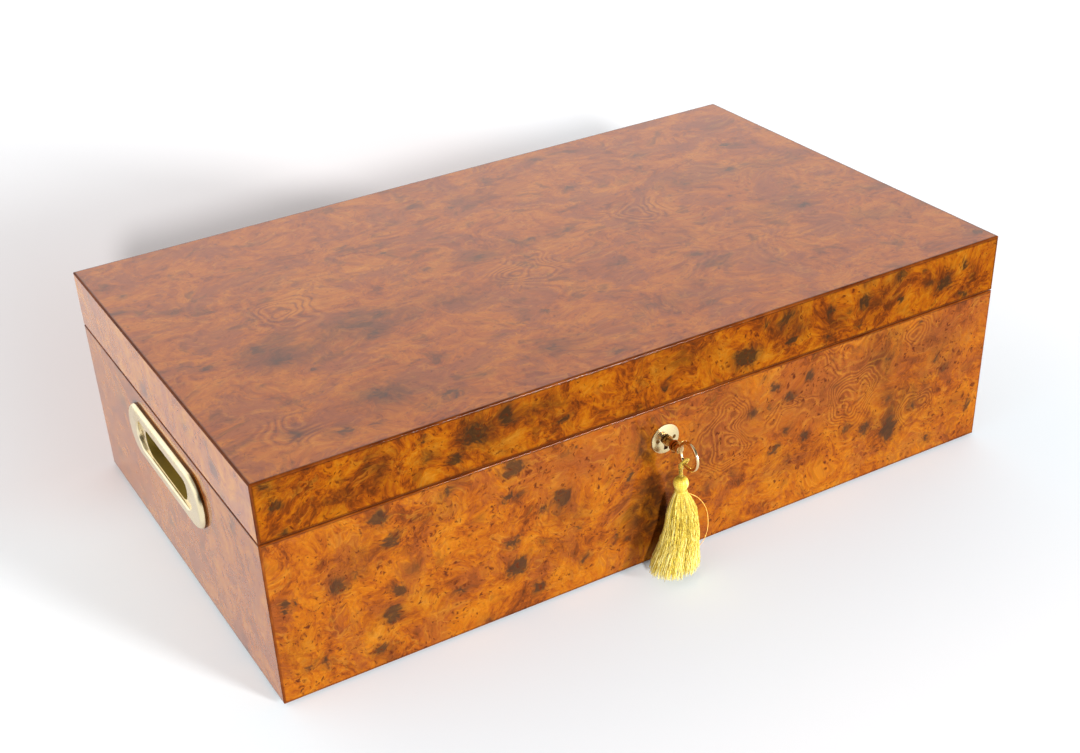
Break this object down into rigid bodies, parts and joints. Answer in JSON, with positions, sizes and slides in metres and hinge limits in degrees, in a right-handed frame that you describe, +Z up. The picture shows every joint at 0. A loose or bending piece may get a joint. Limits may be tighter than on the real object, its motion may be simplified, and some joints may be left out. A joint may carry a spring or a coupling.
{
  "type": "humidor",
  "caption": "Burl-veneered humidor chest with hinged lid, flush side handles, box lock with key and tassel, and cedar lining.",
  "frame": {"origin": "centre of the felt base's underside", "axes": "+X to the right along the front, front faces -Y, +Z up"},
  "size_m": [0.4872, 0.3201, 0.1385],
  "materials": {
    "wall_core": "satin",
    "base_board": "matt",
    "burl_veneer": "high gloss lacquer",
    "felt": "matt felt",
    "cedar": "bare planed cedar",
    "polished_brass": "polished",
    "brass_screw": "satin",
    "lock_brass": "satin",
    "steel": "brushed",
    "dial_face": "satin",
    "needle_black": "satin",
    "clear_glass": "clear",
    "black_plastic": "satin",
    "humidifier_foam": "open cell",
    "silk": "lustrous silk thread"
  },
  "bodies": {
    "case": {"front_wall": "wall_core", "back_wall": "wall_core", "left_wall": "wall_core", "right_wall": "wall_core", "base_panel": "base_board", "case_veneer": "burl_veneer", "base_felt": "felt", "cedar_front_liner": "cedar", "cedar_back_liner": "cedar", "cedar_left_liner": "cedar", "cedar_right_liner": "cedar", "cedar_floor": "cedar", "left_handle": "polished_brass", "right_handle": "polished_brass", "handle_screws": "brass_screw", "lock_case": "lock_brass", "lock_faceplate": "polished_brass", "lock_post": "steel", "escutcheon": "polished_brass", "escutcheon_screws": "brass_screw", "left_hinge_case_leaf": "polished_brass", "right_hinge_case_leaf": "polished_brass", "hinge_pins": "polished_brass", "case_screws": "brass_screw"},
    "lid": {"lid_top_panel": "wall_core", "lid_front_rail": "wall_core", "lid_back_rail": "wall_core", "lid_left_rail": "wall_core", "lid_right_rail": "wall_core", "lid_top_veneer": "burl_veneer", "lid_side_veneer": "burl_veneer", "cedar_lid_panel": "cedar", "cedar_lid_strips": "cedar", "left_hinge_lid_leaf": "polished_brass", "right_hinge_lid_leaf": "polished_brass", "link_plate": "polished_brass", "lid_screws": "brass_screw", "hygrometer_case": "lock_brass", "hygrometer_bezel": "polished_brass", "hygrometer_dial": "dial_face", "hygrometer_glass": "clear_glass", "hygrometer_movement": "lock_brass", "keeper_plates": "steel"},
    "hinge_stays": {"left_hinge_stay": "polished_brass", "right_hinge_stay": "polished_brass"},
    "hygrometer_needle": {"hygrometer_needle": "needle_black"},
    "humidifier": {"humidifier_case": "black_plastic", "humidifier_foam": "humidifier_foam", "humidifier_grille": "black_plastic", "humidifier_magnets": "steel"},
    "lock_curtain": {"lock_curtain": "lock_brass"},
    "lock_bolt": {"lock_bolt": "steel"},
    "key": {"key": "polished_brass", "tassel_cord_loop": "silk"},
    "tassel": {"tassel_cord": "silk", "tassel_head": "silk"},
    "tassel_skirt": {"tassel_skirt": "silk", "tassel_loose_thread": "silk"},
    "left_divider": {"left_divider": "cedar"},
    "right_divider": {"right_divider": "cedar"}
  },
  "joints": [
    {"name": "lid_hinge", "type": "hinge", "parent": "case", "child": "lid", "pos_m": [0, 0.143, 0.103], "axis": [-1, 0, 0], "range_deg": [0, 95]},
    {"name": "stay_swing", "type": "hinge", "parent": "case", "child": "hinge_stays", "pos_m": [0, 0.143, 0.103], "axis": [-1, 0, 0], "range_deg": [0, 47.5]},
    {"name": "key_turn", "type": "hinge", "parent": "case", "child": "lock_curtain", "pos_m": [0, -0.1365, 0.0809], "axis": [0, -1, 0], "range_deg": [0, 90]},
    {"name": "bolt_throw", "type": "slide", "parent": "case", "child": "lock_bolt", "axis": [-1, 0, 0], "range_m": [0, 0.006]},
    {"name": "key_withdraw", "type": "slide", "parent": "lock_curtain", "child": "key", "axis": [0, -1, 0], "range_m": [0, 0.04]},
    {"name": "tassel_hang", "type": "hinge", "parent": "key", "child": "tassel", "pos_m": [0, -0.1582, 0.0707], "axis": [0, -1, 0], "range_deg": [-90, 0]},
    {"name": "tassel_swing", "type": "hinge", "parent": "tassel", "child": "tassel_skirt", "pos_m": [0, -0.1582, 0.057], "axis": [0, -1, 0], "range_deg": [-35, 35]},
    {"name": "humidifier_pull", "type": "slide", "parent": "lid", "child": "humidifier", "axis": [0, 0, -1], "range_m": [0, 0.025]},
    {"name": "needle_turn", "type": "hinge", "parent": "lid", "child": "hygrometer_needle", "pos_m": [0, -0.055, 0.1227], "axis": [0, 0, 1], "range_deg": [-189, 81]},
    {"name": "left_divider_slide", "type": "slide", "parent": "case", "child": "left_divider", "axis": [1, 0, 0], "range_m": [-0.025, 0.025]},
    {"name": "right_divider_slide", "type": "slide", "parent": "case", "child": "right_divider", "axis": [1, 0, 0], "range_m": [-0.025, 0.025]}
  ],
  "couplings": [
    {"joint": "stay_swing", "follows": "lid_hinge", "ratio": 0.5},
    {"joint": "key_turn", "follows": "bolt_throw", "rad_per_m": 261.8},
    {"joint": "tassel_hang", "follows": "bolt_throw", "rad_per_m": -261.8}
  ]
}
